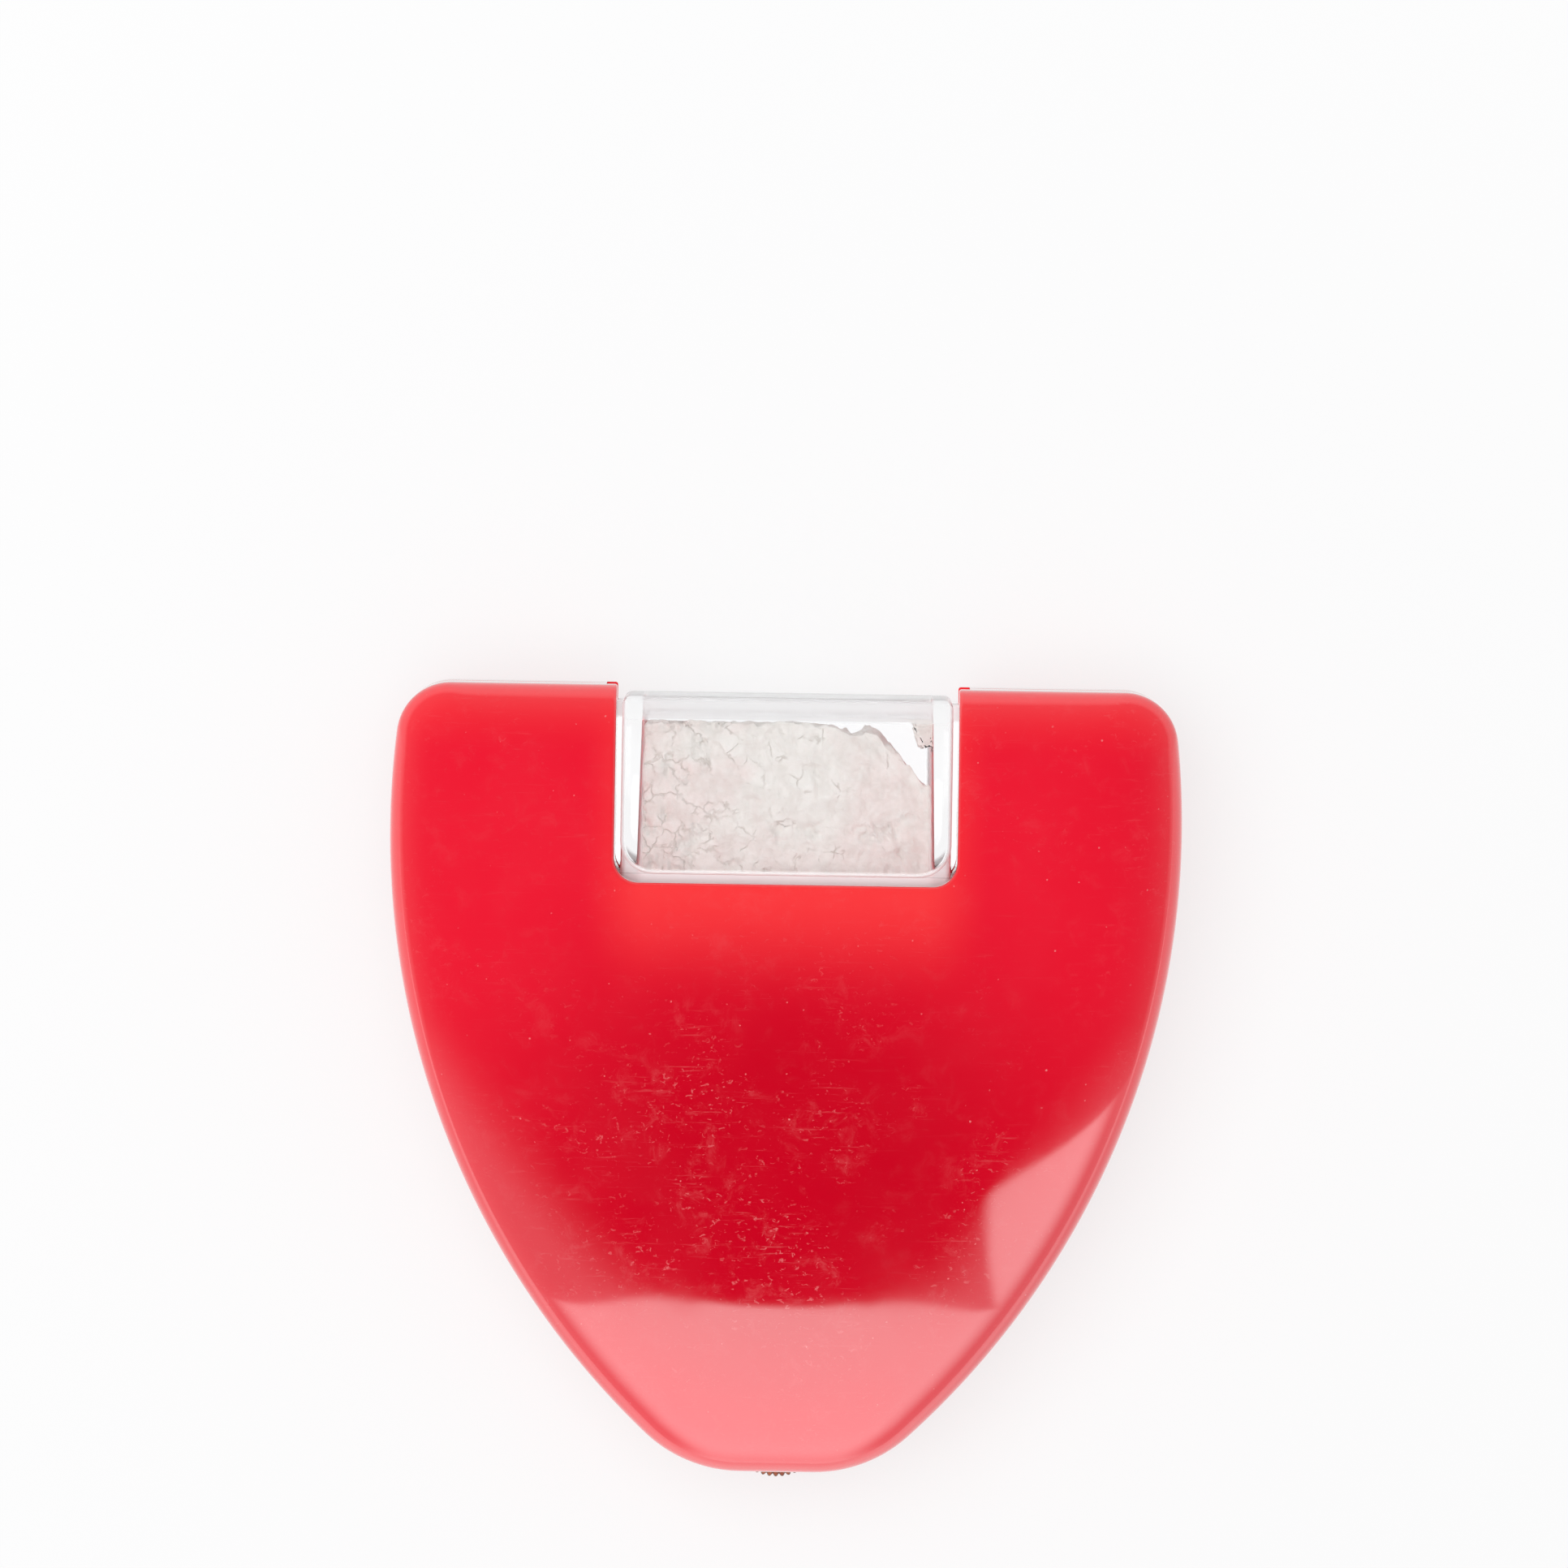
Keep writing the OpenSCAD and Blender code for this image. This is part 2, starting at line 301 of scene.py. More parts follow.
def round_box(low, high, radius, spacing):
    """A closed box with round edges and a spacing for each axis: a point of the six faces is
    drawn to the box that lies radius further in, and put back at radius from it."""
    low, high = np.asarray(low, float), np.asarray(high, float)
    turn = radius * (1 - np.cos(np.radians(np.linspace(0, 90, 9))))
    axes = []
    for a, b, width in zip(low, high, spacing):
        steps = max(1, round((b - a - 2 * radius) / width))
        middle = np.linspace(a + radius, b - radius, steps + 1)
        axes.append(np.concatenate([a + turn[:-1], middle, (b - turn[:-1])[::-1]]))
    patches = []
    for k in range(3):
        u, v = np.meshgrid(axes[(k + 1) % 3], axes[(k + 2) % 3], indexing="ij")
        for level, flip in ((low[k], False), (high[k], True)):
            points = np.empty(u.shape + (3,))
            points[..., k], points[..., (k + 1) % 3], points[..., (k + 2) % 3] = level, u, v
            patches.append((points.reshape(-1, 3), grid_faces(*u.shape, flip=flip)))
    points = np.concatenate([p for p, _ in patches])
    inner = np.clip(points, low + radius, high - radius)
    out = points - inner
    points = inner + out * radius / np.maximum(np.linalg.norm(out, axis=1), 1e-9)[:, None]
    cuts = np.cumsum([len(p) for p, _ in patches])[:-1]
    return weld([(p, f) for p, (_, f) in zip(np.split(points, cuts), patches)])


def prism(name, outline, low, high):
    """A closed prism over an outline that runs anticlockwise."""
    n = len(outline)
    base = np.column_stack([outline, np.full(n, float(low))])
    points = np.concatenate([base, base + [0, 0, high - low]])
    ring = np.arange(n)
    walls = np.stack([ring, np.roll(ring, -1), np.roll(ring, -1) + n, ring + n], -1)
    faces = walls.tolist() + [ring[::-1].tolist(), (ring + n).tolist()]
    return mesh_object(name, points, faces)


def block(name, x, low_y, high_y, low_z, high_z):
    """A prism over a rectangle that reaches x to either side."""
    return prism(name, [[-x, low_y], [x, low_y], [x, high_y], [-x, high_y]], low_z, high_z)


def notch_path():
    """The left half of the notch's edge, from the top of the case to the middle of its floor."""
    x = NOTCH_W / 2
    turn = arc((-x + NOTCH_R, NOTCH_Y + NOTCH_R), NOTCH_R, 180, 270, 40)
    return np.concatenate([[[-x, BODY_H]], turn, [[0.0, NOTCH_Y]]])


def case_plan():
    """The plan of a shell as a grid from the notch's edge to the outline. Its rows fan out from
    the top edge on the left, round the tip, to the top edge on the right. Both their spacing
    below the top edge and the columns' spacing inside the outline grow with the square of the
    distance, because the dome starts upright there. The first columns lie on the notch's edge."""
    inner, outer = notch_path(), OUTER[:len(RIGHT)]
    inner_stops = np.cumsum([0, BODY_H - NOTCH_Y - NOTCH_R, NOTCH_R * math.pi / 2,
                             NOTCH_W / 2 - NOTCH_R])
    outer_stops = [0, 22, 45, length(outer)]
    place_on = np.concatenate([np.linspace(0, 1, 61)[:-1] ** 2, 1 + np.linspace(0, 1, 29)[:-1],
                               2 + np.linspace(0, 1, 81)])
    start = along(inner, np.interp(place_on, range(4), inner_stops))
    end = along(outer, np.interp(place_on, range(4), outer_stops))
    start = np.concatenate([start, start[-2::-1] * [-1, 1]])
    end = np.concatenate([end, end[-2::-1] * [-1, 1]])
    reach = np.linalg.norm(end - start, axis=1)
    turn = EDGE_R * (1 - np.cos(np.radians(np.linspace(0, 90, EDGE_STEPS))))
    rest = 1 - (1 - np.linspace(0, 1, 49)[1:]) ** 2
    away = np.concatenate([np.broadcast_to(turn, (len(reach), EDGE_STEPS)),
                           EDGE_R + (reach[:, None] - EDGE_R) * rest], axis=1)
    return start[:, None] + (end - start)[:, None] * (away / reach[:, None])[..., None]


def round_notch_ends(plan):
    """Rounds the plan's two corners beside the notch: squares about a point inside each corner
    become circles."""
    r = NOTCH_END_R
    a = np.abs(plan[..., 0]) - NOTCH_W / 2 - r
    b = BODY_H - plan[..., 1] - r
    near = (a < 0) & (b < 0)
    largest = np.maximum(np.abs(a), np.abs(b))
    scale = np.where(near, largest / np.maximum(np.hypot(a, b), 1e-9), 1)
    x = np.sign(plan[..., 0]) * (NOTCH_W / 2 + r + a * scale)
    return np.stack([x, BODY_H - r - b * scale], -1)


def case_solid(name, side):
    """One shell as a closed solid: the domed grid, a wall round its edge down to the parting
    plane, with a small round there, and the flat that meets the other shell. side is 1 for the
    front and -1 for the back."""
    square = case_plan()
    past = np.hypot(np.maximum(np.abs(square[..., 0]) - NOTCH_W / 2 + NOTCH_R, 0),
                    np.maximum(NOTCH_Y + NOTCH_R - square[..., 1], 0)) - NOTCH_R
    plan = round_notch_ends(square)
    height = dome(plan[..., 0], plan[..., 1]) - rounding(past, EDGE_R)
    skin = np.concatenate([plan, height[..., None]], -1)
    rows, columns = height.shape
    index = np.arange(rows * columns).reshape(rows, columns)
    loop = np.concatenate([index[0], index[1:, -1], index[-1, -2::-1], index[-2:0:-1, 0]])
    rim = skin.reshape(-1, 3)[loop]
    ahead = np.roll(rim, -1, axis=0)[:, :2] - np.roll(rim, 1, axis=0)[:, :2]
    inward = np.stack([-ahead[:, 1], ahead[:, 0]], -1) / np.linalg.norm(ahead, axis=1)[:, None]
    on_outline = np.arange(len(loop)) < rows + 2 * columns - 2
    beside = np.where(on_outline, smooth(np.abs(rim[:, 0]), NOTCH_W / 2 + 1, NOTCH_W / 2 + 3), 0)
    beside = np.where(on_outline & (rim[:, 1] < NOTCH_Y), 1, beside)
    wall = [rim]
    for share in (0.25, 0.5, 0.75, 1):
        level = rim[:, 2] + (PART_R - rim[:, 2]) * share
        wall.append(np.column_stack([rim[:, :2], level]))
    for turn in np.radians([30, 60, 90]):
        shift = inward * (beside * PART_R * (1 - math.cos(turn)))[:, None]
        level = np.full(len(rim), PART_R * (1 - math.sin(turn)))
        wall.append(np.column_stack([rim[:, :2] + shift, level]))
    wall = np.stack(wall)
    wall_faces = grid_faces(*wall.shape[:2], wrap=True, flip=True)
    points, faces = weld([(skin.reshape(-1, 3), grid_faces(rows, columns)),
                          (wall.reshape(-1, 3), wall_faces)])
    numbers = {tuple(k): i for i, k in enumerate(whole_steps(points).tolist())}
    floor = [numbers[tuple(k)] for k in whole_steps(wall[-1]).tolist()]
    faces.append(floor[::-1])
    if side < 0:
        points = points * [1, 1, -1]
        faces = [f[::-1] for f in faces]
    return mesh_object(name, points, faces)


def cut_case(made, side):
    """Opens a shell for what it holds: the cartridge's slide, its tongues' grooves, the funnel
    below it, the wheel holder and the wheel's slot. Each cut goes a little past the parting
    plane."""
    def span(deep):
        return (-1, deep) if side > 0 else (-deep, 1)
    slide_x, slide_z = BOX_W / 2 + SLIDE_GAP, BOX_T / 2 + SLIDE_GAP
    groove_x, groove_z = TONGUE_OUT + SLIDE_GAP, TONGUE_T / 2 + SLIDE_GAP
    funnel_top = LEDGE_Y + 0.1
    slope = [[-FUNNEL_LOW_X, FUNNEL_LOW], [FUNNEL_LOW_X, FUNNEL_LOW],
             [FUNNEL_TOP_X, funnel_top], [-FUNNEL_TOP_X, funnel_top]]
    tools = [
        block("slide", slide_x, LEDGE_Y, NOTCH_Y + NOTCH_R + 0.5, *span(slide_z)),
        block("groove", groove_x, LEDGE_Y, BODY_H + 1, *span(groove_z)),
        prism("funnel", slope, *span(FUNNEL_Z)),
        block("holder_pocket", HOLDER_X, HOLDER_LOW, HOLDER_TOP, *span(HOLDER_Z)),
        prism("wheel_slot", arc((0, WHEEL_Y), SLOT_R, 0, 360, 96)[:-1], *span(SLOT_Z)),
    ]
    return combine(made, [("DIFFERENCE", tool) for tool in tools])


def pad_outline(x, low, top, low_r, top_r):
    """A rectangle whose lower and upper corners are round, anticlockwise from its lower left."""
    return np.concatenate([
        arc((-x + low_r, low + low_r), low_r, 180, 270, 12),
        arc((x - low_r, low + low_r), low_r, 270, 360, 12),
        arc((x - top_r, top - top_r), top_r, 0, 90, 6),
        arc((-x + top_r, top - top_r), top_r, 90, 180, 6),
    ])


def pad_solid():
    """The part of the cartridge that fills the window: rings that shrink from the pad's outline
    to its middle, lifted to just below the domes on both faces, with round edges."""
    path = pad_outline(BOX_W / 2, PAD_LOW, BOX_TOP, PAD_LOW_R, PAD_TOP_R)
    closed = np.concatenate([path, path[:1]])
    path = along(closed, np.linspace(0, length(closed), 401)[:-1])
    ahead = np.roll(path, -1, axis=0) - np.roll(path, 1, axis=0)
    inward = np.stack([-ahead[:, 1], ahead[:, 0]], -1) / np.linalg.norm(ahead, axis=1)[:, None]
    turn = PAD_EDGE_R * (1 - np.cos(np.radians(np.linspace(0, 90, 7))))
    rings = [path + inward * t for t in turn]
    middle = np.array([0, (PAD_LOW + BOX_TOP) / 2])
    shares = np.linspace(1, 0, 25)[1:]
    rings += [middle + (rings[-1] - middle) * share for share in shares]
    rings = np.stack(rings)
    fall = np.concatenate([rounding(turn, PAD_EDGE_R), np.zeros(len(shares))])
    height = dome(rings[..., 0], rings[..., 1]) - PAD_SINK - fall[:, None]
    front = np.concatenate([rings, height[..., None]], -1)
    back = front * [1, 1, -1]
    sides = np.stack([back[0] + (front[0] - back[0]) * k for k in np.linspace(0, 1, 5)])
    return weld([(front.reshape(-1, 3), grid_faces(*height.shape, wrap=True)),
                 (back.reshape(-1, 3), grid_faces(*height.shape, wrap=True, flip=True)),
                 (sides.reshape(-1, 3), grid_faces(5, len(path), wrap=True))])


def chamber_spread(y):
    """How far the chamber's walls have spread at a height, by their draft."""
    return (CHAMBER_TOP - y) * DRAFT


# Half the width and half the thickness of the chamber at its ceiling
CEILING_X = CHAMBER_W / 2
CEILING_Z = CHAMBER_T / 2 - chamber_spread(BOX_LOW - 1)


def chamber_points(points, gap=0.0):
    """Fits points of a straight box, as wide as the chamber's ceiling, to the chamber's taper."""
    spread = chamber_spread(points[:, 1]) - gap
    x = points[:, 0] * (CEILING_X + spread) / CEILING_X
    z = points[:, 2] * (CEILING_Z + spread) / CEILING_Z
    return np.column_stack([x, points[:, 1], z])


def cartridge():
    """The clear cartridge: a box and the part that fills the window, joined, with a tongue down
    either side, less its tapering chamber, which is open at the lower end."""
    body = mesh_object("cartridge_box", *pad_solid())
    x = BOX_W / 2 - 0.02
    lower = round_box((-x, BOX_LOW, -BOX_T / 2), (x, PAD_LOW + 6, BOX_T / 2), BOX_R, (3, 3, 3))
    tools = [("UNION", mesh_object("lower", *lower))]
    for side in (-1, 1):
        ends = sorted((side * (x - 0.6), side * TONGUE_OUT))
        tongue = round_box((ends[0], BOX_LOW + 0.5, -TONGUE_T / 2),
                           (ends[1], BOX_TOP - 0.5, TONGUE_T / 2), TONGUE_R, (3, 3, 3))
        tools.append(("UNION", mesh_object("tongue", *tongue)))
    points, faces = round_box((-CEILING_X, BOX_LOW - 2, -CEILING_Z),
                              (CEILING_X, CHAMBER_TOP, CEILING_Z), CHAMBER_R, (3, 3, 3))
    tools.append(("DIFFERENCE", mesh_object("chamber", chamber_points(points), faces)))
    return combine(body, tools)


def lattice_noise(x, y, cell, seed):
    """Smooth noise from -1 to 1: values drawn at the corners of square cells, blended between."""
    n = NOISE_CELLS
    values = np.random.default_rng(seed).uniform(-1, 1, (n, n))
    u, v = x / cell, y / cell
    i, j = np.floor(u).astype(int), np.floor(v).astype(int)
    s, t = u - i, v - j
    s, t = s * s * s * (s * (6 * s - 15) + 10), t * t * t * (t * (6 * t - 15) + 10)
    low = values[i % n, j % n] * (1 - s) + values[(i + 1) % n, j % n] * s
    high = values[i % n, (j + 1) % n] * (1 - s) + values[(i + 1) % n, (j + 1) % n] * s
    return low * (1 - t) + high * t


def clods(x, y, cell, seed):
    """Powder caked into clods: one seed point lies in each square cell, and a point belongs to the
    seed nearest to it. Gives how deep that clod lies, from 0 to 1, and how near the point is to
    the crack beside it, from 0 in the clod to 1 in the crack."""
    n = NOISE_CELLS
    table = np.random.default_rng(seed).uniform(0, 1, (3, n, n))
    x, y = x + 500 * cell, y + 500 * cell
    i, j = np.floor(x / cell).astype(int), np.floor(y / cell).astype(int)
    away, depth = [], []
    for a in (-1, 0, 1):
        for b in (-1, 0, 1):
            jitter_x, jitter_y, deep = table[:, (i + a) % n, (j + b) % n]
            away.append(np.hypot(x / cell - i - a - jitter_x, y / cell - j - b - jitter_y))
            depth.append(deep)
    away, depth = np.stack(away), np.stack(depth)
    nearest = away.argmin(0)
    first, second = np.sort(away, axis=0)[:2]
    own = np.take_along_axis(depth, nearest[None], 0)[0]
    return own, 1 - smooth(second - first, 0, 0.3)


def caked(x, y, seed):
    """How far, in millimetres, the powder lies behind the wall that it is caked against: low
    waves and clods of two sizes, with ragged cracks between them here and there, more of them to
    the left. The points are first bent by noise, so that no clod has a straight side."""
    def noise(cell, number):
        return lattice_noise(x, y, cell, seed + number)
    bend_x = x + 0.45 * noise(0.9, 1) + 0.9 * noise(3.1, 2)
    bend_y = y + 0.45 * noise(0.9, 3) + 0.9 * noise(3.1, 4)
    large, large_crack = clods(bend_x, bend_y, 1.9, seed + 5)
    small, small_crack = clods(bend_x, bend_y, 0.8, seed + 6)
    loose = smooth(noise(2.2, 7) - 0.035 * x, -0.35, 0.7)
    open_here = smooth(noise(1.2, 10), -0.15, 0.45)
    cracks = (0.36 * large_crack + 0.25 * small_crack) * loose * open_here
    waves = 0.1 + 0.1 * noise(1.4, 8) + 0.04 * noise(0.7, 9)
    return np.clip(waves + cracks + 0.16 * large * loose + 0.12 * small, 0, 0.7)


def chalk_heap():
    """The powder in the cartridge: a box that follows the chamber's taper, cloddy where it shows
    through the walls, whose top is level on the left and falls away, unevenly, to the right and
    the back."""
    low, top = BOX_LOW + 0.1, CHAMBER_TOP - 0.15
    points, faces = round_box((-CEILING_X, low, -CEILING_Z), (CEILING_X, top, CEILING_Z),
                              0.25, (0.17, 0.19, 0.4))
    x, y, z = points.T
    surface = top - 0.35 - 0.6 * smooth(x, -1, 7) - SLUMP * smooth(x, 6.9, 12.2)
    surface = surface - 0.2 * (CEILING_Z - z)
    ragged = lattice_noise(x, np.full(x.shape, 9.3), 0.9, 8)
    surface = surface + 0.35 * smooth(x, 3, 8) * ragged
    for cell, rise in ((1.7, 0.25), (0.8, 0.22), (0.4, 0.2)):
        surface = surface + rise * lattice_noise(x, z + 20, cell, 5)
    surface = np.minimum(surface, top)
    y = low + (surface - low) * (y - low) / (top - low)
    x, y, z = chamber_points(np.column_stack([x, y, z]), CHALK_GAP).T
    facing = smooth(np.abs(z), 2.4, 3.2)
    z = np.where(z > 0, z - caked(x, y, 11) * facing, z + caked(x, y, 31) * facing)
    beside = smooth(np.abs(x), CEILING_X - 1.2, CEILING_X - 0.2)
    x = x - np.sign(x) * beside * 0.25 * caked(z, y, 51)
    return mesh_object("chalk_heap", np.column_stack([x, y, z]), faces, sharp=180)


def chalk_clump():
    """A little powder that clings to the front and right walls below the chamber's ceiling: a
    flattened ball that leans to the wall, cut off where it would pass them, with a rough edge."""
    turn, tilt = np.meshgrid(np.linspace(0, 2 * np.pi, 65)[:-1],
                             np.radians(np.linspace(-90, 90, 41)))
    x = np.cos(tilt) * np.cos(turn)
    y = np.sin(tilt)
    z = np.cos(tilt) * np.sin(turn)
    reach = 1 + 0.3 * lattice_noise(3 * x + 9, 3 * y + 2 * z + 30, 1.0, 71)
    reach = reach + 0.16 * lattice_noise(8 * x + 20, 8 * y + 3 * z + 50, 1.0, 72)
    side = CEILING_X - 0.05
    front = CEILING_Z - 0.05
    x = np.minimum(side - 0.55 + reach * (1.1 * x - 0.5 * y), side)
    y = np.minimum(CHAMBER_TOP - 1.0 + 1.4 * reach * y, CHAMBER_TOP - 0.05)
    z = np.minimum(front - 0.15 + 0.45 * reach * z, front)
    points = np.stack([x, y, z], -1).reshape(-1, 3)
    clump = weld([(points, grid_faces(*x.shape, wrap=True, flip=True))])
    return mesh_object("chalk_clump", *clump, sharp=180)


def toothed_wheel():
    """The marking wheel: a profile of hub, web and rim carried round the axle. The rim's radius
    follows a squared triangle wave, one tooth to a wave, with its points a little worn."""
    r, half, hub = WHEEL_D / 2, WHEEL_T / 2, WHEEL_T / 2 + 0.1
    profile = np.array([
        [BORE_R, hub - 0.08], [BORE_R + 0.08, hub], [1.62, hub], [1.7, hub - 0.08], [1.72, 0.36],
        [1.9, 0.32], [2.9, 0.32], [3.05, 0.36], [3.1, half - 0.04], [3.16, half],
        [r - 0.42, half], [r - 0.12, half - 0.1], [r, 0.16],
    ])
    profile = np.concatenate([profile, profile[::-1] * [1, -1]])
    turn = np.linspace(0, 2 * np.pi, TEETH * TOOTH_STEPS + 1)[:-1]
    wave = np.abs((turn * TEETH / (2 * np.pi)) % 1 * 2 - 1)
    wave = (wave - 0.06).clip(0.03) / 0.94
    shrink = TOOTH_D * (1 - wave) ** 2
    toothed = smooth(profile[:, 0], r - 0.5, r - 0.1)
    radius = profile[:, None, 0] - toothed[:, None] * shrink
    angle = turn - np.pi / 2
    x, y = radius * np.cos(angle), radius * np.sin(angle) + WHEEL_Y
    z = np.broadcast_to(profile[:, None, 1], x.shape)
    ring = np.stack([x, y, z], -1)
    ring = np.concatenate([ring, ring[:1]])
    faces = grid_faces(len(ring), len(turn), wrap=True, flip=True)
    return mesh_object("toothed_wheel", *weld([(ring.reshape(-1, 3), faces)]), sharp=28)


class Wire:
    """An output of a shader tree. Arithmetic on it adds Math nodes to the tree."""

    def __init__(self, paint, socket):
        self.paint = paint
        self.socket = socket

    def math(self, operation, *others):
        return self.paint.node("Math", {"operation": operation}, dict(enumerate((self, *others))))

    def __add__(self, other):
        return self.math("ADD", other)

    def __sub__(self, other):
        return self.math("SUBTRACT", other)

    def __rsub__(self, other):
        return self.paint.node("Math", {"operation": "SUBTRACT"}, {0: other, 1: self})

    def __mul__(self, other):
        return self.math("MULTIPLY", other)

    def __truediv__(self, other):
        return self.math("DIVIDE", other)

    def __pow__(self, other):
        return self.math("POWER", other)

    def __neg__(self):
        return self.math("MULTIPLY", -1.0)

    def __abs__(self):
        return self.math("ABSOLUTE")

    def __or__(self, other):
        """The larger of two values."""
        return self.math("MAXIMUM", other)

    __radd__ = __add__
    __rmul__ = __mul__


class Paint:
    """A node tree, with the one method that adds a node to it."""

    def __init__(self, owner):
        owner.use_nodes = True
        self.owner = owner
        self.tree = owner.node_tree
        self.tree.nodes.clear()

    def node(self, kind, settings=None, values=None, out=0):
        """Adds a node, sets its settings, then its sockets, and gives one of its outputs."""
        made = self.tree.nodes.new("ShaderNode" + kind)
        for name, value in (settings or {}).items():
            setattr(made, name, value)
        for key, value in (values or {}).items():
            socket = made.inputs[key]
            if isinstance(value, Wire):
                self.tree.links.new(value.socket, socket)
            elif socket.type == "RGBA":
                socket.default_value = (*value, 1)
            else:
                socket.default_value = value
        return Wire(self, made.outputs[out])

    def object_point(self):
        return self.node("TexCoord", out="Object")

    def split(self, point):
        """The X, Y and Z of a point."""
        return [self.node("SeparateXYZ", values={0: point}, out=k) for k in range(3)]

    def light_path(self, kind):
        """1 for rays of that kind, such as Camera or Shadow, and 0 for others."""
        return self.node("LightPath", out="Is " + kind + " Ray")

    def light_paths(self):
        """The camera's rays, those that gloss sends and those that glass lets through."""
        return [self.light_path(kind) for kind in ("Camera", "Glossy", "Transmission")]

    def axes(self):
        """The piece's own X, Y and Z, in millimetres from the tip and the parting plane."""
        x, y, z = self.split(self.object_point())
        return x * 1000, (y - TIP_Y) * 1000, (z - MID_Z) * 1000

    def noise(self, scale, detail=2.0, rough=0.5, warp=0.0, stretch=(1, 1, 1)):
        """Noise from 0 to 1, with scale in waves to the millimetre."""
        point = self.node("Mapping", values={
            "Vector": self.object_point(), "Scale": Vector(stretch)})
        return self.node("TexNoise", values={
            "Vector": point, "Scale": scale / MM, "Detail": detail, "Roughness": rough,
            "Distortion": warp})

    def step(self, value, low, high, to_low=0.0, to_high=1.0):
        """value as a smooth step from to_low, at low, to to_high, at high."""
        return self.node("MapRange", {"interpolation_type": "SMOOTHSTEP"},
                         {0: value, 1: low, 2: high, 3: to_low, 4: to_high})

    def mix(self, share, a, b):
        """Colour a, where share is 0, to colour b, where it is 1."""
        return self.node("Mix", {"data_type": "RGBA"}, {0: share, 6: a, 7: b}, out=2)

    def bump(self, height, depth, strength=1.0):
        """A normal for a height from 0 to 1 that stands for depth in millimetres."""
        return self.node("Bump", values={
            "Strength": strength, "Distance": depth * MM, "Height": height})

    def surface(self, shader, output="OutputMaterial"):
        """Ends the tree in a shader, and gives the material or world that it belongs to."""
        end = self.tree.nodes.new("ShaderNode" + output)
        self.tree.links.new(shader.socket, end.inputs["Surface"])
        return self.owner


def new_paint(name):
    return Paint(bpy.data.materials.new(name))


def red_plastic():
    """Glossy red plastic with painted light at its rim, at its top and below the clear window, and
    painted shade deepest in the middle. Handling has left it with fine scuffs along X,
    nicks, specks and a haze, most of them on the crown, and with smears that dull its gloss."""
    p = new_paint("red_gloss_plastic")
    x, y, z = p.axes()
    # Painted shade deep in the middle and painted light bright towards the edges
    deep, bright = (0.60, 0.0012, 0.0145), (0.86, 0.010, 0.032)
    # Painted light below the window, at the top and at the rim
    painted_glow_below_window = (0.98, 0.042, 0.048)
    painted_light_top, painted_light_rim = (0.96, 0.035, 0.045), (0.99, 0.036, 0.05)
    rubbed_white = (0.95, 0.33, 0.34)
    # Middle of the painted shade, and how far the painted light spreads from it
    middle_y, middle_reach = 25, 26
    across = x / (BODY_W / 2)
    up = (y - middle_y) / middle_reach
    spread = (across * across + up * up) ** 0.5
    edge = p.step(spread, 0.2, 1.15)
    below = p.step(y, NOTCH_Y - 12, NOTCH_Y) ** 1.7
    beside = p.step(abs(x), NOTCH_W / 2 + 3, NOTCH_W / 2 - 3)
    top = p.step(y, BODY_H - 6, BODY_H)
    rim = p.step(abs(z), 5.8, 3.0)
    # Paints the light and shade into the base colour
    colour = p.mix(edge, deep, bright)
    colour = p.mix(below * beside, colour, painted_glow_below_window)
    colour = p.mix(top * 0.7, colour, painted_light_top)
    colour = p.mix(rim * 0.8, colour, painted_light_rim)
    scuff = p.step(p.noise(1.0, 6.0, 0.75, 0.3, (0.2, 3.0, 1.0)), 0.56, 0.74)
    middle = p.step(spread, 0.85, 0.2)
    rubbed = p.step(p.noise(0.11, 3.0, 0.6, 0.4), 0.38, 0.6) * (middle * 0.8 + 0.2)
    nicks = p.step(p.noise(2.6, 3.0, 0.6, 0.8, (0.7, 1.0, 1.0)), 0.6, 0.7)
    haze = p.step(p.noise(0.5, 6.0, 0.75, 0.5), 0.5, 0.75)
    dots = p.node("TexVoronoi", {"feature": "F1"}, {
        "Vector": p.object_point(), "Scale": 0.75 / MM})
    some = p.step(p.noise(0.23, 2.0), 0.4, 0.56)
    speck = p.step(dots + p.noise(4.0, 2.0) * 0.18, 0.16, 0.11) * some
    worn = speck * 0.55 | rubbed * nicks * 0.36 | scuff * (rubbed * 0.24 + 0.04)
    worn = worn | haze * (rubbed * 0.13 + 0.03)
    colour = p.mix(worn, colour, rubbed_white)
    smear = p.noise(0.16, 3.0, 0.6, 0.6)
    rough = p.step(smear, 0.3, 0.75, 0.05, 0.1) + worn * 0.3
    waves = p.bump(p.noise(0.12, 1.0), 0.012)
    shader = p.node("BsdfPrincipled", values={
        "Base Color": colour, "Roughness": rough, "IOR": 1.5, "Normal": waves,
        "Coat Weight": 1.0, "Coat Roughness": 0.03, "Coat IOR": 1.5})
    return p.surface(shader)


